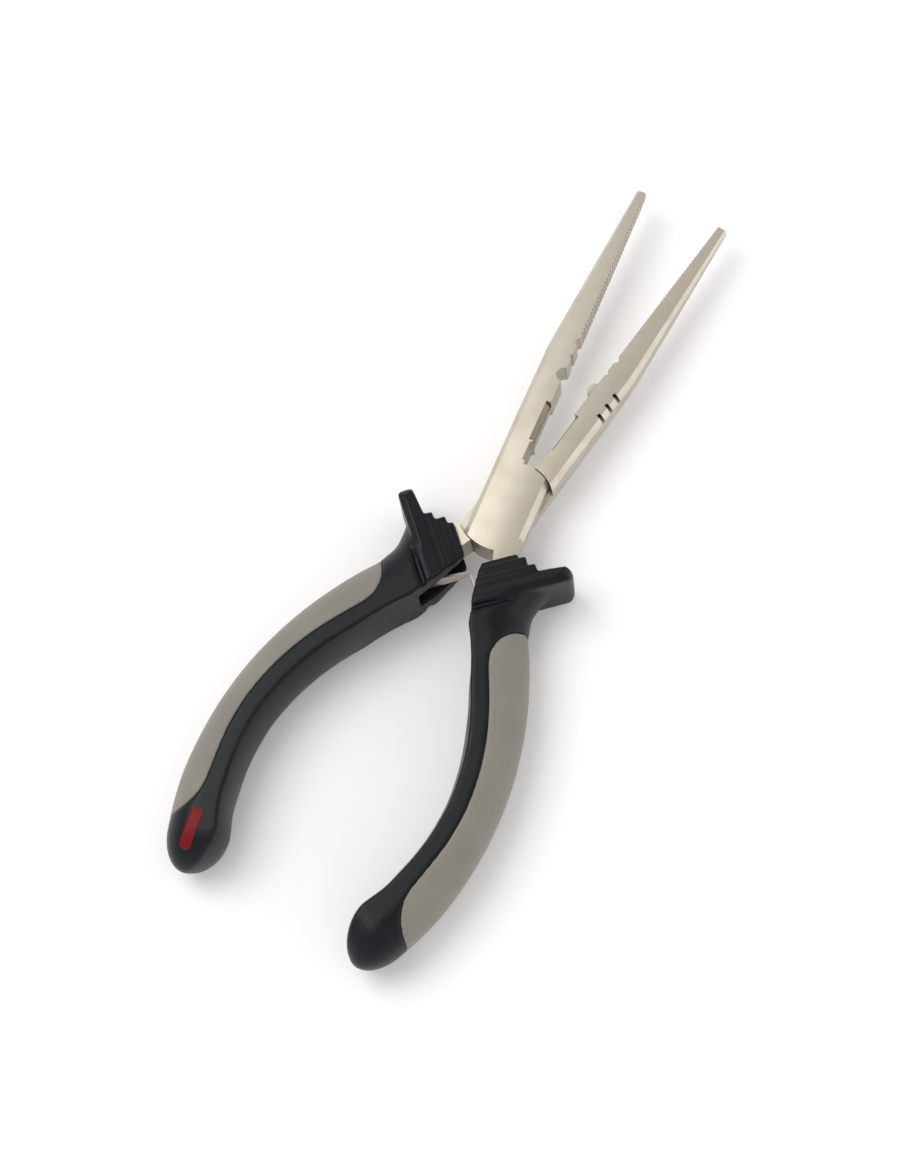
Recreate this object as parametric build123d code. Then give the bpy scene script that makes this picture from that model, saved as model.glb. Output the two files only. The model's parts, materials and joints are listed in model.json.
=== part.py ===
from build123d import *
from math import asin, atan2, cos, degrees, hypot, radians, sin
import os

# Long-nose fishing pliers, lying flat on their grips. Millimetres, +Z up, +Y from the
# handles to the jaws along the bisector of the open pliers. Both halves are drawn closed,
# about the pivot and about the pliers' mid-plane, and are then turned open.

# ---- overall sizes ----
jaw_length = 95.6            # pivot to jaw tip
handle_length = 120.2        # pivot to the end of the closed handle
opening_angle = 12.6         # angle between the two halves at rest
grip_thickness = 19.0        # the grips' height, which the pliers lie on
head_thickness = 9.0         # joint and jaw roots

# ---- lap joint ----
lap_radius = 12.2
lap_clearance = 0.3          # lap disc to the shoulder around it
face_clearance = 0.06        # between the two lap faces, each side
plate_outer = 7.2            # half-width of the head on the half's own jaw side
plate_far = 7.8              # half-width of the head on the other side
rivet_radius = 3.2
rivet_clearance = 0.05
rivet_head_overhang = 1.6    # how far the countersunk head stands out past the shank
rivet_head_depth = 1.6
rivet_cover = 1.0            # plate left over the blind end of the rivet

# ---- jaws ----
jaw_clearance = 0.12         # closed jaw face to the centre plane
jaw_straight = 46.0          # the jaw keeps its full width up to here
jaw_taper_start = 24.0       # the jaw gets thinner from here
tip_width = 2.6
tip_thickness = 3.0
jaw_bevel = 1.3              # flat bevel along the jaw's outer edges
tip_bevel = 0.5
tip_round = 0.4
shoulder_start = 6.0         # where the jaw's bar begins, inside the lap disc
relief_gap = 0.7             # lap shoulder to the relief in the inner edge
relief_end, relief_depth = 18.6, 0.9
cutter_start, cutter_end = 18.9, 30.3
cutter_width, cutter_depth = 1.3, 3.2
cutter_lean = 0.25           # how far the cutting bevel leans back
crimp_at, crimp_radius, crimp_clearance = 38.8, 1.75, 0.25
crimp_inset = 0.4            # the rib's ends lie this far below the jaw's faces
notches = [(44.3, 0.75), (48.9, 1.15)]      # place and radius of the small line notches
notch_inset = 0.35           # how far a notch's centre stands off the face, as a share of its radius
teeth_start, tooth_pitch, tooth_width, tooth_depth = 51.0, 1.2, 0.63, 0.35
groove_first, groove_pitch, groove_count = 33.2, 3.4, 3
groove_width, groove_length, groove_depth = 0.95, 3.0, 1.7
groove_inset, groove_tilt = 0.7, 12.0        # the grooves' middle to the jaw's outer side, and their slant

# ---- tangs ----
tang_inner, tang_outer = 1.9, 7.8           # where the tang leaves the lap disc
tang_width, tang_thickness = 5.4, 6.4       # the bar inside the grip
tang_root = 7.3              # the tang begins here, inside the lap disc
tang_shoulder = 18.0                        # full head thickness up to here
tang_slope = 0.34                           # how fast the neck's inner side leaves the bisector
tang_flare = 0.16                           # the same for its outer side
tang_seat_end = 38.0                        # the neck's straight inner side ends here
tang_end_gap = 12.0                         # tang end to handle end

# ---- grips ----
spine_radius = 79.0          # the grip's centre line is an arc of this radius
spine_x, spine_y = -55.3, -75.0             # the arc's centre
grip_front = 30.0            # the plain grip runs from here to the rounded end
grip_widths = [(-30.0, 6.3, 9.1), (-33.5, 6.5, 7.4), (-45.0, 7.3, 6.6), (-60.0, 6.2, 6.0), (-77.0, 5.5, 5.8),
               (-90.0, 5.7, 5.9), (-100.0, 6.2, 6.3)]   # place, and how far the grip reaches in and out from the arc
grip_crown = 1.8             # how far the inner side is crowned
crown_full = 58.0            # the crown grows from the grip's front to here
strip_width = 4.5            # flat strip along the top and bottom of the grip
end_bulge = 0.7              # how far the handle's end stands inwards
end_swell = 8.0              # length over which it swells
end_round = 9.0              # length of the rounded end
end_shift = 0.8              # how far the end leaves the arc, outwards
end_turn = 84.0              # how far round the end its last section lies
flare_length, flare_reach, flare_power = 6.9, 13.4, 1.4     # the grip widens towards the guard
body_stations, swell_stations, round_stations, flare_stations = 20, 4, 9, 6     # sections along each stretch
panel_front, panel_nose = 33.2, 3.4         # soft panel's front, and the length of its rounding
panel_rear_gap, panel_tail = 10.4, 6.0      # soft panel's rear to the handle's end, and its rounding
panel_lap = 0.2              # the panel reaches this far over the flat strip

# ---- guards, in their own frame: x out along the ridges, y forward across them ----
guard_angle = 37.0           # the guard's frame is turned by this about the pivot
guard_reach = 21.0           # the guard runs inwards as far as this
flange_tip, flange_back, flange_front = 11.6, -24.9, -21.1
flange_root, flange_root_front = 3.4, -20.2 # where the flange's slanted front meets the ridges
flange_plan_round, flange_corner_round = 1.8, 4.4
flange_crest, flange_back_fall, flange_front_fall = -23.2, 1.0, 1.5     # the crest, and the falls on its two sides
guard_base = (-24.0, -13.7, -0.4, 12.2)     # back, front, outer end and height of the lowest terrace
guard_ridges = [(-21.0, -18.1, 3.2, 16.4), (-18.6, -15.3, 1.4, 14.4)]   # the same for the terraces behind it
guard_round = 0.6            # edge rounding of the terraces
valley_at, valley_width, valley_depth = -25.7, 2.0, 1.7     # groove between the flange and the plain grip
guard_front = [(0.6, -16.7), (11.2, -8.7), (22.0, -0.6)]    # slanted front of the guard
guard_inner = [(0.6, -16.7), (0.8, -19.0), (1.5, -22.4), (2.3, -26.4), (3.5, -30.0)]    # its inner side

# ---- leaf springs ----
leaf_thickness, leaf_height = 0.6, 5.6
leaf_bend = 29.4             # pivot to the leaf's bend, along the handle
leaf_tab = 6.5               # length of the tab that the rivet holds
leaf_tip_y = -19.4           # where the tips meet, on the open pliers
leaf_tip_gap = 0.35          # leaf tip to the bisector
leaf_tip_height = 2.6
leaf_taper_start = 0.35      # share of the tongue that keeps its full height
leaf_room = 0.7              # slot wall to the leaf
leaf_slot_lip = 1.0          # the slot opens this far behind the bend
spring_rivet_radius, spring_rivet_length = 1.1, 3.0
spring_rivet_head, spring_rivet_head_height = 1.9, 0.7
spring_rivet_at = 3.9        # bend to the rivet, along the tab

half_angle = opening_angle / 2
half_head = head_thickness / 2
half_grip = grip_thickness / 2
relief_start = lap_radius + lap_clearance + relief_gap
rivet_head_radius = rivet_radius + rivet_head_overhang
grip_end = -(handle_length - end_round)
swell_start = grip_end + end_swell
panel_rear = handle_length - panel_rear_gap
beyond = 2 * handle_length   # further out than anything on the handle


def prism(points, low, high):
    """A straight-sided solid between two heights."""
    face = make_face(Polyline(*points, close=True))
    return Pos(0, 0, low) * extrude(face, high - low)


def cylinder(x, y, radius, low, high):
    return Pos(x, y, (low + high) / 2) * Cylinder(radius, high - low)


# ---------------- jaws ----------------
def jaw_width(y):
    """Outer width of the jaw at a distance from the pivot."""
    if y <= jaw_straight:
        return plate_outer
    return plate_outer + (tip_width - plate_outer) * (y - jaw_straight) / (jaw_length - jaw_straight)


def jaw_half_thickness(y):
    if y <= jaw_taper_start:
        return half_head
    share = (y - jaw_taper_start) / (jaw_length - jaw_taper_start)
    return half_head + (tip_thickness / 2 - half_head) * share


def jaw_bevel_at(y):
    share = max(0.0, (y - jaw_straight) / (jaw_length - jaw_straight))
    return jaw_bevel + (tip_bevel - jaw_bevel) * share


def jaw_section(y):
    """The jaw's cross-section: flat inside, bevelled along both outer edges."""
    width, height, bevel = jaw_width(y), jaw_half_thickness(y), jaw_bevel_at(y)
    corners = [(-jaw_clearance, -height), (-jaw_clearance, height), (bevel - width, height),
               (-width, height - bevel), (-width, bevel - height), (bevel - width, -height)]
    wire = Polyline(*[(x, y, z) for x, z in corners], close=True)
    return make_face(wire)


def jaw_bar():
    """The left jaw as a bar of bevelled sections, with a rounded tip."""
    places = [shoulder_start, jaw_taper_start, jaw_straight, jaw_length]
    pieces = [loft([jaw_section(a), jaw_section(b)], ruled=True) for a, b in zip(places, places[1:])]
    bar = pieces[0] + pieces[1] + pieces[2]
    tip_edges = bar.faces().sort_by(Axis.Y)[-1].edges()
    return fillet(tip_edges, tip_round)


def tooth_cuts():
    """Fine grooves across the gripping face, from the last notch to the tip."""
    count = int((jaw_length - tip_bevel - teeth_start) / tooth_pitch)
    half = tooth_width / 2
    cuts = []
    for i in range(count):
        y = teeth_start + (i + 0.5) * tooth_pitch
        corners = [(0, y - half), (0, y + half), (-jaw_clearance - tooth_depth, y)]
        cuts.append(prism(corners, -half_head, half_head))
    return cuts


def cutter_cuts():
    """The bevels that leave a cutting edge at mid-thickness, on both faces."""
    cuts = []
    for side in (1, -1):
        top = jaw_half_thickness(cutter_start) + 1
        edge_x = -jaw_clearance
        deep = half_head - cutter_depth
        profile = [(edge_x - cutter_width, half_head), (edge_x - cutter_width, top), (1, top),
                   (1, deep), (edge_x - cutter_lean, deep)]
        wire = Polyline(*[(x, cutter_start, side * z) for x, z in profile], close=True)
        cuts.append(extrude(make_face(wire), cutter_end - cutter_start, dir=(0, 1, 0)))
    return cuts


def groove_cuts():
    """Short grooves across the jaw's outer edge, on the face away from the half's own lap disc."""
    cuts = []
    for i in range(groove_count):
        y = groove_first + i * groove_pitch
        slot = Box(groove_length, groove_width, groove_depth)
        place = Pos(groove_inset - jaw_width(y), y, jaw_bevel / 2 - jaw_half_thickness(y))
        cuts.append(place * Rot(0, 0, groove_tilt) * slot)
    return cuts


def notch_cuts():
    """Small round notches in the gripping face."""
    cuts = []
    for y, radius in notches:
        cuts.append(cylinder(notch_inset * radius - jaw_clearance, y, radius, -half_head, half_head))
    return cuts


def relief_cut():
    """The set-back of the jaw's inner edge between the lap's shoulder and the cutter."""
    slant = relief_depth / 2
    corners = [(0, relief_start), (-relief_depth, relief_start), (-relief_depth, relief_end - slant),
               (0, relief_end + slant)]
    return prism(corners, -half_head, half_head)


def crimp_socket():
    """The half-round hollow in the upper half's jaw, which takes the other jaw's rib."""
    return cylinder(0, crimp_at, crimp_radius + crimp_clearance, -half_head, half_head)


def crimp_rib():
    """The half-round rib on the lower half's jaw, drawn on the left like the jaw."""
    height = jaw_half_thickness(crimp_at + crimp_radius) - crimp_inset
    return cylinder(-jaw_clearance, crimp_at, crimp_radius, -height, height)


# ---------------- lap and tang ----------------
def spine_point(angle, offset=0.0):
    """A point on the grip's arc, angle in degrees, offset outwards."""
    radius = spine_radius + offset
    return (spine_x + radius * cos(radians(angle)), spine_y + radius * sin(radians(angle)))


def spine_angle(y):
    return degrees(asin((y - spine_y) / spine_radius))


def lap_plate():
    """The half's own disc, cut off and bevelled at both sides, in the upper layer."""
    disc = cylinder(0, 0, lap_radius, face_clearance, half_head)
    strip = Box(plate_far + plate_outer, 3 * lap_radius, head_thickness)
    strip = chamfer(strip.edges().filter_by(Axis.Y), jaw_bevel)
    return disc & Pos((plate_far - plate_outer) / 2, 0, 0) * strip


def lap_well():
    """The space that the other half's disc turns in: the lower layer inside the shoulder."""
    return cylinder(0, 0, lap_radius + lap_clearance, -head_thickness, face_clearance)


def neck_inner(y):
    """The straight inner side of the tang's neck, on the right handle."""
    return (tang_inner + tang_slope * (-y - lap_radius), y)


def neck_outer(y):
    return (tang_outer + tang_flare * (-y - lap_radius), y)


def tang():
    """The forged bar from the lap disc into the right grip."""
    root = -tang_root
    half = tang_width / 2
    last = spine_angle(-(handle_length - tang_end_gap))
    seat_end = neck_inner(-tang_seat_end)
    first = spine_angle(-tang_seat_end)
    shift = hypot(seat_end[0] - spine_x, seat_end[1] - spine_y) - spine_radius
    middle = (first + last) / 2
    inner = ThreePointArc(seat_end, spine_point(middle, -half), spine_point(last, -half))
    outer_end = spine_point(first, shift + tang_width)
    outer = ThreePointArc(spine_point(last, half), spine_point(middle, half), outer_end)
    end = Line(inner @ 1, outer @ 0)
    neck = Polyline(outer @ 1, neck_outer(-tang_shoulder), (tang_outer, root), (tang_inner, root),
                    neck_inner(-lap_radius), seat_end)
    bar = extrude(make_face([inner, end, outer, neck]), tang_thickness / 2, both=True)
    return bar + thick_neck(root)


def thick_neck(root):
    """The part of the tang in front of the grip, as thick as the head."""
    corners = [(tang_inner, root), neck_inner(-lap_radius), neck_inner(-tang_shoulder),
               neck_outer(-tang_shoulder), (tang_outer, root)]
    return prism(corners, -half_head, half_head)


def forged_half():
    """One half as it is forged, drawn as the upper half: left jaw, upper lap, right tang."""
    body = jaw_bar() + tang() - lap_well() + lap_plate()
    for cut in tooth_cuts() + cutter_cuts() + groove_cuts() + notch_cuts() + [relief_cut()]:
        body = body - cut
    return body


def upper_half():
    """Upper half with the blind bore that the rivet is pressed into."""
    bore = cylinder(0, 0, rivet_radius, -half_head, half_head - rivet_cover)
    return forged_half() - crimp_socket() - bore - spring_rivet()


def lower_half():
    """Lower half: the same forging turned over, with the rib and the rivet's running bore."""
    body = Rot(0, 180, 0) * (forged_half() + crimp_rib() - spring_rivet())
    hole = cylinder(0, 0, rivet_radius + rivet_clearance, -half_head, half_head)
    return body - hole - rivet_head(rivet_clearance)


def rivet_head(clearance=0.0):
    """The countersunk head, flush with the underside."""
    cone = Cone(rivet_head_radius + clearance, rivet_radius + clearance, rivet_head_depth + clearance)
    return Pos(0, 0, -half_head + (rivet_head_depth + clearance) / 2) * cone


def pivot_rivet():
    shank = cylinder(0, 0, rivet_radius, -half_head, half_head - rivet_cover)
    return shank + rivet_head()


# ---------------- grips ----------------
def reach(y, side):
    """How far the grip reaches from its arc, between the stated places: side 1 is in, side 2 is out."""
    for before, after in zip(grip_widths, grip_widths[1:]):
        if y >= after[0]:
            share = min(1.0, max(0.0, (before[0] - y) / (before[0] - after[0])))
            return before[side] + (after[side] - before[side]) * share
    return grip_widths[-1][side]


def reach_in(y):
    return reach(y, 1)


def reach_out(y):
    return reach(y, 2)


def inner_crown(y):
    """The crown of the grip's inner side, which grows from the grip's front."""
    share = (-y - grip_front) / (crown_full - grip_front)
    return grip_crown * min(1.0, max(0.0, share))


def grip_section(y, scale=1.0, bulge=0.0, shift=0.0, flare=0.0):
    """One D-shaped section across the grip: crowned inside, flat strips, elliptical outside."""
    angle = spine_angle(y)
    origin = spine_point(angle, shift)
    inner = -(reach_in(y) + bulge) * scale
    edge = (strip_width - reach_in(y)) * scale + flare / 2
    outer = reach_out(y) * scale + flare
    height = half_grip * scale
    plane = Plane(origin=(origin[0], origin[1], 0), x_dir=(cos(radians(angle)), sin(radians(angle)), 0),
                  z_dir=(sin(radians(angle)), -cos(radians(angle)), 0))
    if inner_crown(y) > 0:
        side = ThreePointArc((inner, -height), (inner - inner_crown(y) * scale, 0), (inner, height))
    else:
        side = Line((inner, -height), (inner, height))
    top = Line((inner, height), (edge, height))
    crown = EllipticalCenterArc((edge, 0), outer - edge, height, -90, arc_size=180)
    bottom = Line((edge, -height), (inner, -height))
    return plane * make_face([side, top, crown, bottom])


def grip_body_sections():
    """Sections from the front of the plain grip to its rounded end."""
    step = (swell_start + grip_front) / body_stations
    sections = [grip_section(-grip_front + step * i) for i in range(1, body_stations + 1)]
    for i in range(1, swell_stations + 1):
        share = i / swell_stations
        swell = end_bulge * (1 - cos(radians(180 * share))) / 2
        sections.append(grip_section(swell_start - end_swell * share, 1.0, swell))
    for i in range(1, round_stations + 1):
        turn = radians(end_turn * i / round_stations)
        size, far = cos(turn), sin(turn)
        sections.append(grip_section(grip_end - end_round * far, size, end_bulge * size, end_shift * far))
    return sections


def grip_flare_sections():
    """Sections of the flare that widens towards the guard, from its front into the plain grip."""
    step = (swell_start + grip_front) / body_stations
    sections = []
    for i in range(flare_stations, -1, -1):
        share = i / flare_stations
        flare = flare_reach * share ** flare_power
        sections.append(grip_section(-grip_front + flare_length * share, flare=flare))
    return sections + [grip_section(-grip_front + step)]


def grip_blank():
    """The whole grip behind the guard, before it is divided into body and panel."""
    plain = loft(grip_body_sections(), ruled=True)
    flare = loft(grip_flare_sections(), ruled=True)
    return plain + (flare & behind_flange())


def in_guard_frame(shape):
    return Rot(0, 0, guard_angle) * shape


def behind_flange():
    """Everything behind the middle of the flange."""
    middle = (flange_back + flange_front) / 2
    return in_guard_frame(Pos(0, middle - beyond, 0) * Box(2 * beyond, 2 * beyond, 2 * grip_thickness))


def guard_flange():
    """The tall flange: slanted at the front, rounded in plan and at its outer corners."""
    corners = [(-guard_reach, flange_back), (flange_tip, flange_back), (flange_tip, flange_front),
               (flange_root, flange_root_front), (-guard_reach, flange_root_front)]
    plan = prism(corners, -half_grip, half_grip)
    ends = plan.edges().filter_by(Axis.Z).sort_by(Axis.X)[-2:]
    plan = fillet(ends, flange_plan_round)
    side = Box(guard_reach + flange_tip, beyond, grip_thickness)
    side = fillet(side.edges().filter_by(Axis.Y).sort_by(Axis.X)[-2:], flange_corner_round)
    return in_guard_frame(plan & flange_profile() & Pos((flange_tip - guard_reach) / 2, flange_back, 0) * side)


def flange_profile():
    """The flange seen along its ridge: a crest, from which the top and bottom fall to the back and the front."""
    back, front = half_grip - flange_back_fall, half_grip - flange_front_fall
    upper = [(flange_back, back), (flange_crest, half_grip), (flange_root_front, front)]
    lower = [(y, -z) for y, z in reversed(upper)]
    wire = Polyline(*[(-guard_reach, y, z) for y, z in upper + lower], close=True)
    return extrude(make_face(wire), guard_reach + flange_tip, dir=(1, 0, 0))


def guard_slab(back, front, tip, height):
    """One terrace of the guard."""
    slab = Box(guard_reach + tip, front - back, height)
    slab = fillet(slab.edges().filter_by(Axis.X), guard_round)
    return in_guard_frame(Pos((tip - guard_reach) / 2, (front + back) / 2, 0) * slab)


def guard_valleys():
    """The grooves behind the flange, across the top and bottom."""
    half = valley_width / 2
    cuts = []
    floor = half_grip - valley_depth
    for side in (1, -1):
        profile = [(valley_at - half, half_grip), (valley_at + half, half_grip), (valley_at, floor)]
        wire = Polyline(*[(-guard_reach, y, side * z) for y, z in profile], close=True)
        cuts.append(in_guard_frame(extrude(make_face(wire), guard_reach + flange_root, dir=(1, 0, 0))))
    return cuts


def guard_room():
    """The plan area the handle may fill: behind the guard's slanted front and outside its inner side."""
    corner = spine_point(spine_angle(-grip_front), -reach_in(-grip_front))
    far = [(beyond, guard_front[-1][1]), (beyond, -beyond), (-beyond, -beyond), (-beyond, corner[1])]
    return prism([corner] + guard_inner[::-1] + guard_front[1:] + far, -grip_thickness, grip_thickness)


def guard():
    """The thumb guard: a tall flange and three terraces stepping down in front of it."""
    body = guard_flange() + guard_slab(*guard_base)
    for ridge in guard_ridges:
        body = body + guard_slab(*ridge)
    return body


def panel_edge(distance, offset=0.0):
    """A point at a distance along the handle, offset outwards from where the panel's edge runs."""
    return spine_point(spine_angle(-distance), strip_width - reach_in(-distance) - panel_lap + offset)


def panel_room():
    """The plan area of the soft panel on the outer side of the grip."""
    across = 2 * reach_out(-panel_front)
    start, end = panel_front + 3 * panel_nose, panel_rear - 2 * panel_tail
    middle = [panel_edge(start + (end - start) * i / 4) for i in range(5)]
    front = [panel_edge(panel_front + panel_nose / 2, across), panel_edge(panel_front, across / 2),
             panel_edge(panel_front + panel_nose, panel_nose / 4)]
    rear = [panel_edge(panel_rear - panel_tail, panel_tail / 6),
            panel_edge(panel_rear - panel_tail / 2, panel_tail / 2), panel_edge(panel_rear, across)]
    line = Spline(*front, *middle, *rear)
    around = Polyline(line @ 1, (beyond, (line @ 1).Y), (beyond, (line @ 0).Y), line @ 0)
    return extrude(make_face([line, around]), grip_thickness, both=True)


def leaf_slot():
    """The slot in the grip's inner side that the leaf spring works in, drawn closed."""
    seat, along, inwards = leaf_seat()
    height = leaf_height / 2 + leaf_room
    deep = leaf_thickness + spring_rivet_head_height + leaf_room
    front = neck_inner(-lap_radius)
    rear = moved(seat, along, leaf_tab + leaf_room)
    floor = moved(rear, inwards, deep)
    mouth = moved(moved(seat, along, leaf_room), inwards, deep + guard_reach / 2)
    return prism([front, rear, floor, moved(moved(seat, along, leaf_slot_lip), inwards, deep), mouth,
                  (front[0] - guard_reach, front[1])], -height, height)


def grip_parts():
    """The right grip's hard body and its soft panel."""
    front = (grip_blank() + guard()) & guard_room()
    for cut in guard_valleys():
        front = front - cut
    blank = front - tang()
    room = panel_room()
    return blank - room - leaf_slot(), blank & room


# ---------------- leaf springs ----------------
def moved(point, direction, distance):
    return (point[0] + direction[0] * distance, point[1] + direction[1] * distance)


def turned(point, angle):
    """A point turned about the pivot."""
    c, s = cos(radians(angle)), sin(radians(angle))
    return (point[0] * c - point[1] * s, point[0] * s + point[1] * c)


def leaf_seat():
    """Where the leaf bends off the closed right tang, the way along the tang, and the way in."""
    start, end = neck_inner(-lap_radius), neck_inner(-tang_seat_end)
    length = hypot(end[0] - start[0], end[1] - start[1])
    along = ((end[0] - start[0]) / length, (end[1] - start[1]) / length)
    return neck_inner(-leaf_bend), along, (along[1], -along[0])


def leaf_bend_point():
    """The middle of the leaf's bend, on the closed right tang."""
    seat, _, inwards = leaf_seat()
    return moved(seat, inwards, leaf_thickness / 2)


def leaf_tip():
    """The middle of the right leaf's tip, on the closed right tang's side."""
    return turned((leaf_tip_gap + leaf_thickness / 2, leaf_tip_y), -half_angle)


def right_leaf():
    """The right leaf: a tab on the tang, a bend and a tapered tongue."""
    _, along, _ = leaf_seat()
    bend, tip = leaf_bend_point(), leaf_tip()
    path = Polyline(moved(bend, along, leaf_tab), bend, tip)
    outline = offset(path, leaf_thickness / 2, kind=Kind.ARC)
    strip = extrude(make_face(outline), leaf_height / 2, both=True)
    length = hypot(tip[0] - bend[0], tip[1] - bend[1])
    lean = degrees(atan2(tip[1] - bend[1], tip[0] - bend[0]))
    leaf = strip - spring_rivet()
    start, end = length * leaf_taper_start, length + leaf_thickness
    corners = [(start, leaf_height / 2), (end, leaf_tip_height / 2), (end, leaf_height), (start, leaf_height)]
    for side in (1, -1):
        wire = Polyline(*[(x, -leaf_height, side * z) for x, z in corners], close=True)
        cut = extrude(make_face(wire), 2 * leaf_height, dir=(0, 1, 0))
        leaf = leaf - Pos(bend[0], bend[1], 0) * Rot(0, 0, lean) * cut
    return leaf


def spring_rivet():
    """The small rivet through the leaf's tab into the right tang."""
    seat, along, inwards = leaf_seat()
    middle = moved(seat, along, spring_rivet_at)
    lean = degrees(atan2(inwards[1], inwards[0]))
    shank = Rot(0, 90, 0) * Cylinder(spring_rivet_radius, spring_rivet_length + leaf_thickness)
    head = Rot(0, 90, 0) * Cylinder(spring_rivet_head, spring_rivet_head_height)
    stem = Pos((leaf_thickness - spring_rivet_length) / 2, 0, 0) * shank
    cap = Pos(leaf_thickness + spring_rivet_head_height / 2, 0, 0) * head
    return Pos(middle[0], middle[1], 0) * Rot(0, 0, lean) * (stem + cap)


# ---------------- assembly ----------------
def opened(shape, turn):
    """Turns a closed half to its open place and lifts it off the table."""
    return Pos(0, 0, half_grip) * Rot(0, 0, turn * half_angle) * shape


def left_of(shape):
    """The same piece on the other handle: turned over about the bisector."""
    return Rot(0, 180, 0) * shape


def build():
    grip_body, grip_panel = grip_parts()
    leaf = right_leaf()
    pin = spring_rivet()
    return {
        "upper_half": opened(upper_half(), 1),
        "lower_half": opened(lower_half(), -1),
        "pivot_rivet": opened(pivot_rivet(), 1),
        "right_grip": opened(grip_body, 1),
        "left_grip": opened(left_of(grip_body), -1),
        "right_grip_panel": opened(grip_panel, 1),
        "left_grip_panel": opened(left_of(grip_panel), -1),
        "right_leaf_spring": opened(leaf, 1),
        "left_leaf_spring": opened(left_of(leaf), -1),
        "right_spring_rivet": opened(pin, 1),
        "left_spring_rivet": opened(left_of(pin), -1),
    }


def centred(shapes):
    """Puts the origin at the bottom centre of the open pliers' box."""
    box = Compound(list(shapes.values())).bounding_box()
    middle = box.center()
    move = Pos(-middle.X, -middle.Y, -box.min.Z)
    return {name: move * shape for name, shape in shapes.items()}


nodes = centred(build())
os.makedirs("parts", exist_ok=True)
for name, shape in nodes.items():
    export_step(shape, f"parts/{name}.step")
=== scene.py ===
import bmesh
import bpy
import json
import math
from mathutils import Matrix, Vector
from mathutils.bvhtree import BVHTree


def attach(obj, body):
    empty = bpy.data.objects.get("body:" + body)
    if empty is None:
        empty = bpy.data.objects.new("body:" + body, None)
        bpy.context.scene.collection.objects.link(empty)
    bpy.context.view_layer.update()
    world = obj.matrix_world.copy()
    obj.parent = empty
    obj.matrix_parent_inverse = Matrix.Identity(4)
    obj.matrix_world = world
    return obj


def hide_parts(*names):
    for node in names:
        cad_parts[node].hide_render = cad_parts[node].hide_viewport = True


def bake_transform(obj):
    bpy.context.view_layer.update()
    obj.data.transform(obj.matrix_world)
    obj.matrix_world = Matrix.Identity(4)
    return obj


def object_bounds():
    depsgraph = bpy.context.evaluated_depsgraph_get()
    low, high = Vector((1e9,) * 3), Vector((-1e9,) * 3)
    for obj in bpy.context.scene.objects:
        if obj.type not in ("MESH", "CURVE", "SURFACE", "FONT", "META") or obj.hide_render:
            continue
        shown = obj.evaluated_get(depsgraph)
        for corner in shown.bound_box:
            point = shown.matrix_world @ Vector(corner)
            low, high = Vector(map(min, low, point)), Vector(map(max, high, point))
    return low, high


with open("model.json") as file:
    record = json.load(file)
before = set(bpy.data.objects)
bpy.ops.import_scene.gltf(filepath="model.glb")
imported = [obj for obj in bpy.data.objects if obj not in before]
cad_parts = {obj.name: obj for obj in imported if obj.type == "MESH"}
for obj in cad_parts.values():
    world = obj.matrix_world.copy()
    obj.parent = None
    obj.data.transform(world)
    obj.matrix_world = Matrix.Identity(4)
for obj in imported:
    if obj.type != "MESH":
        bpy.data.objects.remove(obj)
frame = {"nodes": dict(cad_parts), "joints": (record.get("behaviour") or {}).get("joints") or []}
cad_low, cad_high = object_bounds()
nodes = frame["nodes"]
joints = {joint["name"]: joint for joint in frame["joints"]}
pivot = Vector(joints["pivot"]["pos_m"])

MM = 0.001
HALF_OPENING = 6.3           # degrees that each half is turned open at rest

# The view: high above the pliers, from the side of the right handle. Its target is measured from the pivot.
VIEW_OFFSET = Vector((-3.44, -22.92, -0.02)) * MM
VIEW_AZIMUTH = 40.21
VIEW_ELEVATION = 69.6
VIEW_DISTANCE = 0.7325
PICTURE_TURN = 29.36
FOCAL_LENGTH = 90.5
SENSOR = 36.0

# Geometry
WELD = 0.002 * MM            # corners nearer than this are one
STEEL_EDGE = 0.12 * MM       # rounding of the steel's edges
SHARP_ANGLE = 28.0           # degrees: edges sharper than this are rounded
FLAT_ANGLE = 0.6             # degrees: faces that meet at less than this are joined
FLAT_FACE_WEIGHT = 60        # how strongly the large faces hold the shading
GRIP_VOXEL, GRIP_SMOOTHING = 0.42 * MM, 5
PANEL_VOXEL, PANEL_SMOOTHING = 0.45 * MM, 6

# A leaf is cut across at every step along its bend, from about 3 steps before it to 9 steps after.
LEAF_CUTS = 14
LEAF_CUT_STEP = 0.3 * MM
LEAF_CUTS_BEFORE = 0.25      # share of the cuts that lie before the bend

# The printed mark. Its ends are measured from the pivot.
MARK_START = Vector((-26.3, -104.8)) * MM
MARK_END = Vector((-24.9, -115.2)) * MM
MARK_WIDTH = 3.0 * MM
MARK_HEIGHT = 0.06 * MM
MARK_COLUMNS, MARK_ROWS = 36, 12
MARK_BLUNTNESS = 0.12        # width of the mark's very ends, as a share of its own


# ---------------- camera ----------------
def camera():
    """The camera, turned so that the pliers lean over in the picture."""
    azimuth, elevation = math.radians(VIEW_AZIMUTH), math.radians(VIEW_ELEVATION)
    back = Vector((math.sin(azimuth) * math.cos(elevation), -math.cos(azimuth) * math.cos(elevation),
                   math.sin(elevation)))
    turn = math.radians(PICTURE_TURN)
    upward = Vector((-math.sin(turn), math.cos(turn), 0.0))
    up = (upward - back * upward.dot(back)).normalized()
    right = up.cross(back)
    data = bpy.data.cameras.new("camera")
    data.lens = FOCAL_LENGTH
    data.sensor_width = SENSOR
    data.clip_start, data.clip_end = 0.01, 20.0
    obj = bpy.data.objects.new("camera", data)
    bpy.context.scene.collection.objects.link(obj)
    place = Matrix((right, up, back)).transposed().to_4x4()
    place.translation = pivot + VIEW_OFFSET + back * VIEW_DISTANCE
    obj.matrix_world = place
    bpy.context.scene.camera = obj


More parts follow.
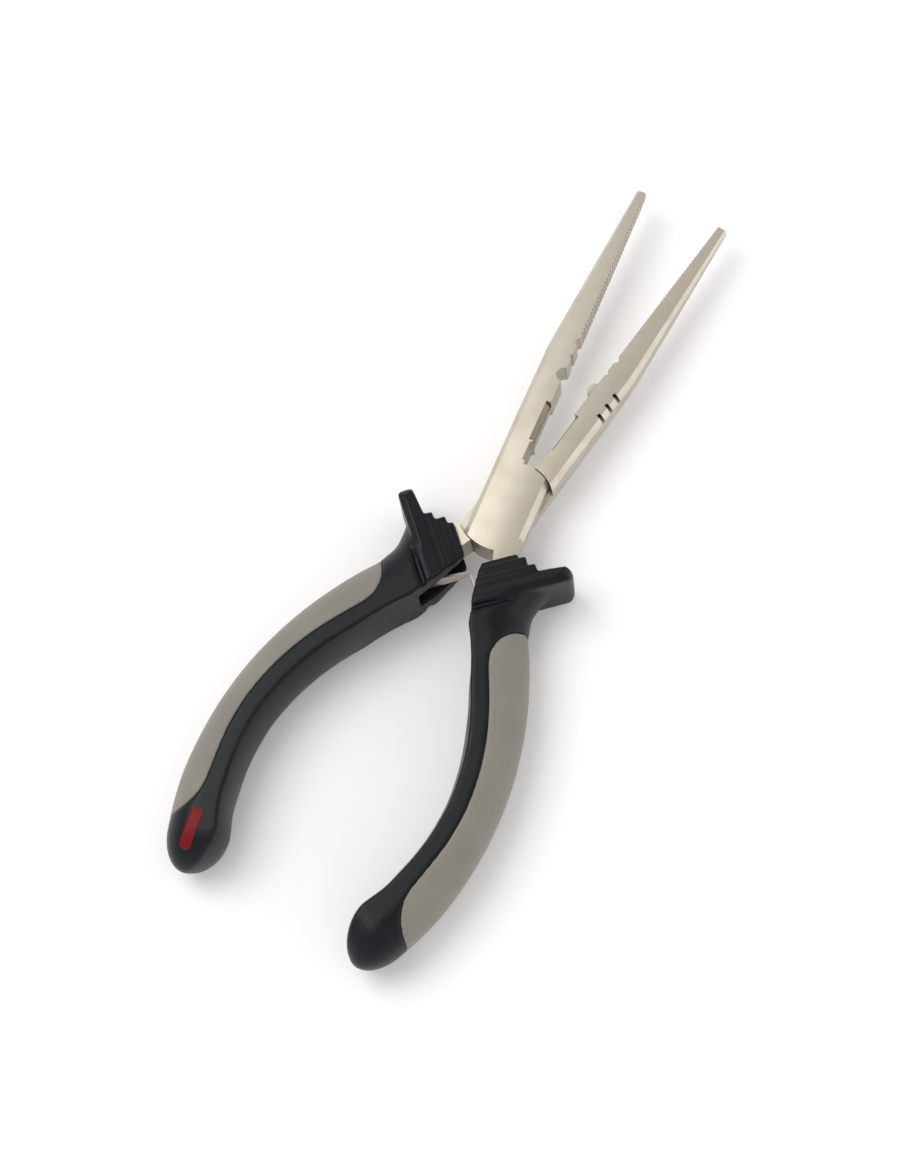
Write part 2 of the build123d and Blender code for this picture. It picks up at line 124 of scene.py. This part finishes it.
# ---------------- node helpers ----------------
class Tree:
    """A material's node tree, with short calls for the nodes used here."""

    def __init__(self, name):
        self.material = bpy.data.materials.new(name)
        self.material.use_nodes = True
        self.nodes = self.material.node_tree.nodes
        self.links = self.material.node_tree.links
        self.shader = self.nodes["Principled BSDF"]

    def node(self, kind, **settings):
        made = self.nodes.new("ShaderNode" + kind)
        for key, value in settings.items():
            setattr(made, key, value)
        return made

    def set(self, **values):
        for key, value in values.items():
            socket = self.shader.inputs[key.replace("_", " ")]
            socket.default_value = (*value, 1.0) if isinstance(value, tuple) else value

    def place(self):
        return self.node("TexCoord").outputs["Object"]

    def scaled(self, vector, scale):
        mapping = self.node("Mapping")
        self.links.new(vector, mapping.inputs["Vector"])
        mapping.inputs["Scale"].default_value = scale
        return mapping.outputs["Vector"]

    def noise(self, vector, scale, detail=3.0, rough=0.5):
        made = self.node("TexNoise")
        self.links.new(vector, made.inputs["Vector"])
        made.inputs["Scale"].default_value = scale
        made.inputs["Detail"].default_value = detail
        made.inputs["Roughness"].default_value = rough
        return made.outputs["Fac"]

    def math(self, operation, first, second):
        made = self.node("Math", operation=operation)
        for socket, value in zip(made.inputs, (first, second)):
            if isinstance(value, (int, float)):
                socket.default_value = value
            else:
                self.links.new(value, socket)
        return made.outputs[0]

    def ramp(self, factor, stops):
        made = self.node("ValToRGB")
        self.links.new(factor, made.inputs["Fac"])
        elements = made.color_ramp.elements
        while len(elements) < len(stops):
            elements.new(0.5)
        for element, (position, colour) in zip(elements, stops):
            element.position = position
            element.color = (*colour, 1.0)
        return made.outputs["Color"]

    def ranged(self, value, low, high, new_low, new_high):
        made = self.node("MapRange")
        self.links.new(value, made.inputs["Value"])
        for key, number in zip(("From Min", "From Max", "To Min", "To Max"), (low, high, new_low, new_high)):
            made.inputs[key].default_value = number
        return made.outputs["Result"]

    def mixed(self, factor, first, second, mode="MIX"):
        made = self.node("Mix", data_type="RGBA", blend_type=mode)
        self.links.new(factor, made.inputs["Factor"])
        for socket, value in ((made.inputs[6], first), (made.inputs[7], second)):
            if isinstance(value, tuple):
                socket.default_value = (*value, 1.0)
            else:
                self.links.new(value, socket)
        return made.outputs[2]

    def bump(self, height, distance, strength=1.0, normal=None):
        made = self.node("Bump")
        self.links.new(height, made.inputs["Height"])
        made.inputs["Distance"].default_value = distance
        made.inputs["Strength"].default_value = strength
        if normal is not None:
            self.links.new(normal, made.inputs["Normal"])
        return made.outputs["Normal"]

    def feed(self, key, output):
        self.links.new(output, self.shader.inputs[key])

    def cavity(self, distance):
        """How open the surface is to its surroundings: 0 deep inside the piece's own grooves."""
        made = self.node("AmbientOcclusion", samples=6, only_local=True)
        made.inputs["Distance"].default_value = distance
        return self.ranged(made.outputs["AO"], BURIED, OPEN, 0.0, 1.0)


# ---------------- materials ----------------
CROWN = 12.0                 # 1/m: the forged faces are crowned across the closed pliers
SHADE_REACH = 1.4 * MM       # how wide a groove can be and still get painted shade
BURIED, OPEN = 0.35, 0.95    # how much open sky a spot with full painted shade and a spot with none see
NICKEL_LIGHT, NICKEL_DARK = (0.61, 0.57, 0.485), (0.545, 0.495, 0.405)
# painted shade: the dark brown that the plate turns in its own grooves and recesses
CREVICE_SHADE = (0.10, 0.085, 0.065)


def nickel(name, opening):
    """Satin nickel plate on a half that is turned open by some degrees: grain along the jaw, crown across,
    and painted shade in its grooves.
    """
    tree = Tree(name)
    tree.set(Metallic=1.0)
    turn = tree.node("VectorRotate", rotation_type="Z_AXIS")
    tree.links.new(tree.place(), turn.inputs["Vector"])
    turn.inputs["Center"].default_value = pivot
    turn.inputs["Angle"].default_value = math.radians(-opening)
    place = turn.outputs["Vector"]
    across = tree.node("SeparateXYZ")
    tree.links.new(place, across.inputs["Vector"])
    offset = tree.math("SUBTRACT", across.outputs["X"], pivot.x)
    crown = tree.math("MULTIPLY", tree.math("MULTIPLY", offset, offset), -CROWN)
    grain = tree.noise(tree.scaled(place, (1.0, 0.12, 1.0)), 4200.0, 4.0, 0.6)
    blotch = tree.noise(place, 160.0, 2.0)
    fine = tree.noise(place, 7000.0, 2.0)
    plate = tree.mixed(tree.ranged(blotch, 0.3, 0.7, 0.0, 1.0), NICKEL_LIGHT, NICKEL_DARK)
    # painted shade: the plate's colour darkens towards the dark brown where the ambient occlusion finds
    # grooves and recesses
    tree.feed("Base Color", tree.mixed(tree.cavity(SHADE_REACH), CREVICE_SHADE, plate))
    satin = tree.ranged(grain, 0.2, 0.8, 0.33, 0.47)
    tree.feed("Roughness", tree.math("ADD", satin, tree.ranged(blotch, 0.3, 0.7, -0.03, 0.03)))
    normal = tree.bump(crown, 1.0)
    normal = tree.bump(grain, 0.0035 * MM, 1.0, normal)
    tree.feed("Normal", tree.bump(fine, 0.0018 * MM, 1.0, normal))
    return tree.material


def spring_steel():
    """Bright rolled strip with a rosy tint and fine lengthwise lines."""
    tree = Tree("spring_steel")
    tree.set(Metallic=1.0)
    lines = tree.noise(tree.scaled(tree.place(), (1.0, 1.0, 9.0)), 1500.0, 3.0)
    tree.feed("Base Color", tree.mixed(lines, (0.70, 0.60, 0.55), (0.58, 0.49, 0.45)))
    tree.feed("Roughness", tree.ranged(lines, 0.3, 0.7, 0.22, 0.36))
    tree.feed("Normal", tree.bump(lines, 0.004 * MM))
    return tree.material


def turned_steel():
    """The rivets' steel, with the rings that turning leaves around the pivot."""
    tree = Tree("rivet_steel")
    tree.set(Metallic=1.0)
    shift = tree.node("Mapping")
    tree.links.new(tree.place(), shift.inputs["Vector"])
    shift.inputs["Location"].default_value = -pivot
    rings = tree.node("TexWave", wave_type="RINGS", rings_direction="Z")
    tree.links.new(shift.outputs["Vector"], rings.inputs["Vector"])
    rings.inputs["Scale"].default_value = 900.0
    rings.inputs["Distortion"].default_value = 1.2
    spots = tree.noise(tree.place(), 900.0)
    tree.feed("Base Color", tree.mixed(spots, (0.56, 0.53, 0.49), (0.47, 0.44, 0.40)))
    tree.feed("Roughness", tree.ranged(spots, 0.3, 0.7, 0.28, 0.42))
    tree.feed("Normal", tree.bump(rings.outputs["Fac"], 0.004 * MM))
    return tree.material


def grip_black():
    """Hard black moulding with a fine spark-eroded texture and dusty flecks."""
    tree = Tree("grip_black")
    place = tree.place()
    pebble = tree.node("TexVoronoi", feature="F1")
    tree.links.new(place, pebble.inputs["Vector"])
    pebble.inputs["Scale"].default_value = 2600.0
    haze = tree.noise(place, 90.0, 3.0)
    fleck = tree.noise(place, 2300.0, 2.0, 0.7)
    flecks = tree.ramp(fleck, [(0.0, (0.0, 0.0, 0.0)), (0.66, (0.0, 0.0, 0.0)), (0.78, (1.0, 1.0, 1.0))])
    tree.set(Specular_IOR_Level=0.2)
    base = tree.mixed(tree.ranged(haze, 0.3, 0.7, 0.0, 1.0), (0.0030, 0.0050, 0.0062),
                      (0.0065, 0.0090, 0.0108))
    tree.feed("Base Color", tree.mixed(tree.math("MULTIPLY", flecks, 0.35), base, (0.07, 0.08, 0.09)))
    tree.feed("Roughness", tree.ranged(haze, 0.3, 0.7, 0.28, 0.40))
    normal = tree.bump(pebble.outputs["Distance"], 0.030 * MM, 0.8)
    tree.feed("Normal", tree.bump(tree.noise(place, 700.0, 3.0), 0.02 * MM, 0.7, normal))
    return tree.material


def panel_grey():
    """Soft grey moulding: matte, with a velvety fine grain and faint handling marks."""
    tree = Tree("panel_grey")
    tree.set(Sheen_Weight=0.12, Sheen_Roughness=0.5)
    place = tree.place()
    haze = tree.noise(place, 70.0, 4.0)
    grain = tree.noise(place, 5200.0, 2.0)
    base = tree.mixed(tree.ranged(haze, 0.3, 0.7, 0.0, 1.0), (0.228, 0.214, 0.178), (0.205, 0.192, 0.160))
    tree.feed("Base Color", tree.mixed(tree.math("MULTIPLY", grain, 0.22), base, (0.20, 0.188, 0.158)))
    tree.feed("Roughness", tree.ranged(haze, 0.3, 0.7, 0.58, 0.70))
    tree.feed("Normal", tree.bump(grain, 0.012 * MM, 0.8))
    return tree.material


def mark_red():
    """Pad-printed red ink, slightly thin in places."""
    tree = Tree("mark_red")
    tree.set(Specular_IOR_Level=0.15)
    thin = tree.noise(tree.place(), 1800.0, 4.0, 0.7)
    tree.feed("Base Color", tree.mixed(tree.ranged(thin, 0.55, 0.75, 0.0, 0.8), (0.17, 0.005, 0.007),
                                       (0.07, 0.006, 0.007)))
    tree.feed("Roughness", tree.ranged(thin, 0.3, 0.7, 0.36, 0.50))
    tree.feed("Normal", tree.bump(thin, 0.01 * MM, 0.6))
    return tree.material


# ---------------- pieces ----------------
def linked(name, mesh, material):
    obj = bpy.data.objects.new(name, mesh)
    bpy.context.scene.collection.objects.link(obj)
    mesh.materials.clear()
    mesh.materials.append(material)
    return obj


def copy_mesh(node, name):
    """A welded copy of a CAD node's mesh, with no custom normals."""
    work = bmesh.new()
    work.from_mesh(nodes[node].data)
    bmesh.ops.remove_doubles(work, verts=work.verts, dist=WELD)
    mesh = bpy.data.meshes.new(name)
    work.to_mesh(mesh)
    work.free()
    return mesh


def apply_modifiers(obj):
    """Replaces the object's mesh with its evaluated one."""
    graph = bpy.context.evaluated_depsgraph_get()
    final = bpy.data.meshes.new_from_object(obj.evaluated_get(graph))
    old = obj.data
    obj.modifiers.clear()
    obj.data = final
    bpy.data.meshes.remove(old)


def finish_piece(obj, node, body):
    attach(obj, body)
    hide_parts(node)


def shade_smooth(obj, angle):
    """Smooth shading, broken at edges sharper than the angle, with the large flat faces kept flat."""
    work = bmesh.new()
    work.from_mesh(obj.data)
    for face in work.faces:
        face.smooth = True
    for edge in work.edges:
        if len(edge.link_faces) == 2:
            edge.smooth = edge.calc_face_angle(0.0) < math.radians(angle)
    work.to_mesh(obj.data)
    work.free()
    weighted = obj.modifiers.new("normals", "WEIGHTED_NORMAL")
    weighted.weight = FLAT_FACE_WEIGHT
    weighted.keep_sharp = True
    apply_modifiers(obj)


def round_edges(obj):
    bevel = obj.modifiers.new("edges", "BEVEL")
    bevel.limit_method = "ANGLE"
    bevel.angle_limit = math.radians(SHARP_ANGLE)
    bevel.width = STEEL_EDGE
    bevel.segments = 2
    bevel.use_clamp_overlap = True
    apply_modifiers(obj)


def machined(node, body, material):
    """A steel piece with its sharp edges slightly rounded, as plating leaves them."""
    mesh = copy_mesh(node, node + "_plated")
    work = bmesh.new()
    work.from_mesh(mesh)
    bmesh.ops.dissolve_limit(work, angle_limit=math.radians(FLAT_ANGLE), verts=work.verts,
                             edges=work.edges)
    work.to_mesh(mesh)
    work.free()
    obj = linked(node + "_plated", mesh, material)
    round_edges(obj)
    shade_smooth(obj, SHARP_ANGLE)
    finish_piece(obj, node, body)


def shade_soft(obj):
    for polygon in obj.data.polygons:
        polygon.use_smooth = True


def moulded(node, body, material, voxel, rounds):
    """A plastic piece as it leaves the mould: the CAD solid with every edge rounded."""
    obj = linked(node + "_moulded", copy_mesh(node, node + "_moulded"), material)
    remesh = obj.modifiers.new("remesh", "REMESH")
    remesh.mode = "VOXEL"
    remesh.voxel_size = voxel
    smooth = obj.modifiers.new("smooth", "SMOOTH")
    smooth.factor = 0.5
    smooth.iterations = rounds
    apply_modifiers(obj)
    shade_soft(obj)
    finish_piece(obj, node, body)
    return obj


def leaf(side, material):
    """A leaf spring with rounded edges, cut across in fine steps around its bend near the rivet."""
    node = side + "_leaf_spring"
    bend = Vector(joints[side + "_leaf_bend"]["pos_m"])
    mesh = copy_mesh(node, node + "_bent")
    tip = max((v.co for v in mesh.vertices), key=lambda co: (co.xy - bend.xy).length)
    along = Vector((tip.x - bend.x, tip.y - bend.y, 0.0)).normalized()
    obj = linked(node + "_bent", mesh, material)
    round_edges(obj)
    work = bmesh.new()
    work.from_mesh(obj.data)
    for i in range(LEAF_CUTS):
        place = bend + along * LEAF_CUT_STEP * (i - LEAF_CUTS * LEAF_CUTS_BEFORE)
        bmesh.ops.bisect_plane(work, geom=work.verts[:] + work.edges[:] + work.faces[:], plane_co=place,
                               plane_no=along)
    work.to_mesh(obj.data)
    work.free()
    shade_smooth(obj, SHARP_ANGLE)
    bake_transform(obj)
    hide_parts(node)


def red_mark(grip, material):
    """A plain printed bar with round ends, laid on the end of the left grip."""
    start, end = pivot.xy + MARK_START, pivot.xy + MARK_END
    along = (end - start).normalized()
    across = Vector((-along.y, along.x))
    length, radius = (end - start).length, MARK_WIDTH / 2
    tree = BVHTree.FromObject(grip, bpy.context.evaluated_depsgraph_get())
    work = bmesh.new()
    grid = []
    for i in range(MARK_COLUMNS + 1):
        t = length * i / MARK_COLUMNS
        ends = min(t, length - t)
        half = radius if ends >= radius else math.sqrt(max(0.0, radius ** 2 - (radius - ends) ** 2))
        half = max(half, radius * MARK_BLUNTNESS)
        line = []
        for j in range(MARK_ROWS + 1):
            point = start + along * t + across * half * (2 * j / MARK_ROWS - 1)
            hit = tree.ray_cast(Vector((point.x, point.y, cad_high.z + MM)), Vector((0, 0, -1)))[0]
            line.append(work.verts.new(Vector((point.x, point.y, hit.z + MARK_HEIGHT))))
        grid.append(line)
    for before, after in zip(grid, grid[1:]):
        for j in range(MARK_ROWS):
            work.faces.new((before[j], before[j + 1], after[j + 1], after[j]))
    bmesh.ops.recalc_face_normals(work, faces=work.faces)
    mesh = bpy.data.meshes.new("red_mark")
    work.to_mesh(mesh)
    work.free()
    obj = linked("red_mark", mesh, material)
    solid = obj.modifiers.new("thickness", "SOLIDIFY")
    solid.thickness = 2 * MARK_HEIGHT
    solid.offset = 0.0
    apply_modifiers(obj)
    shade_soft(obj)
    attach(obj, "lower")


# ---------------- stage ----------------
FLOOR_SIZE = 5.0
FLOOR_DROP = 0.1 * MM
KEY_FROM = Vector((-0.456, -0.113, 0.883))
KEY_DISTANCE, KEY_SIZE, KEY_POWER = 0.95, 0.62, 4.3
CARD_FROM = Vector((0.93, 0.27, 0.35))
CARD_DISTANCE, CARD_SIZE, CARD_POWER = 1.1, 0.8, 1.3


def area_light(name, direction, distance, size, power, colour):
    data = bpy.data.lights.new(name, "AREA")
    data.shape = "SQUARE"
    data.size = size
    data.energy = power
    data.color = colour
    obj = bpy.data.objects.new(name, data)
    bpy.context.scene.collection.objects.link(obj)
    obj.location = pivot + direction.normalized() * distance
    obj.rotation_euler = direction.to_track_quat("Z", "Y").to_euler()


def stage():
    """White sweep, one soft key light, a fill card, and a surrounding that is brighter low down."""
    mesh = bpy.data.meshes.new("floor")
    s, z = FLOOR_SIZE, cad_low.z - FLOOR_DROP
    mesh.from_pydata([(-s, -s, z), (s, -s, z), (s, s, z), (-s, s, z)], [], [(0, 1, 2, 3)])
    paper = Tree("paper")
    paper.set(Base_Color=(0.93, 0.93, 0.93), Roughness=0.9, Specular_IOR_Level=0.1,
              Emission_Color=(1.0, 0.985, 1.0), Emission_Strength=0.09)
    linked("floor", mesh, paper.material)
    area_light("key", KEY_FROM, KEY_DISTANCE, KEY_SIZE, KEY_POWER, (1.0, 0.985, 0.96))
    area_light("card", CARD_FROM, CARD_DISTANCE, CARD_SIZE, CARD_POWER, (1.0, 0.99, 0.97))
    world = bpy.data.worlds.new("world")
    bpy.context.scene.world = world
    world.use_nodes = True
    links, made = world.node_tree.links, world.node_tree.nodes
    height = made.new("ShaderNodeSeparateXYZ")
    links.new(made.new("ShaderNodeTexCoord").outputs["Generated"], height.inputs["Vector"])
    ramp = made.new("ShaderNodeValToRGB")
    ramp.color_ramp.elements[0].position, ramp.color_ramp.elements[0].color = 0.25, (0.92, 0.93, 0.97, 1.0)
    ramp.color_ramp.elements[1].position, ramp.color_ramp.elements[1].color = 0.97, (0.56, 0.54, 0.525, 1.0)
    links.new(height.outputs["Z"], ramp.inputs["Fac"])
    links.new(ramp.outputs["Color"], made["Background"].inputs["Color"])
    made["Background"].inputs["Strength"].default_value = 1.0
    bpy.context.scene.view_settings.view_transform = "Standard"


camera()
stage()
black, grey = grip_black(), panel_grey()
springs, rivets = spring_steel(), turned_steel()
machined("upper_half", "upper", nickel("nickel_upper", HALF_OPENING))
machined("lower_half", "lower", nickel("nickel_lower", -HALF_OPENING))
for side, body in (("right", "upper"), ("left", "lower")):
    grip = moulded(side + "_grip", body, black, GRIP_VOXEL, GRIP_SMOOTHING)
    moulded(side + "_grip_panel", body, grey, PANEL_VOXEL, PANEL_SMOOTHING)
    leaf(side, springs)
    machined(side + "_spring_rivet", body, rivets)
machined("pivot_rivet", "upper", rivets)
red_mark(grip, mark_red())
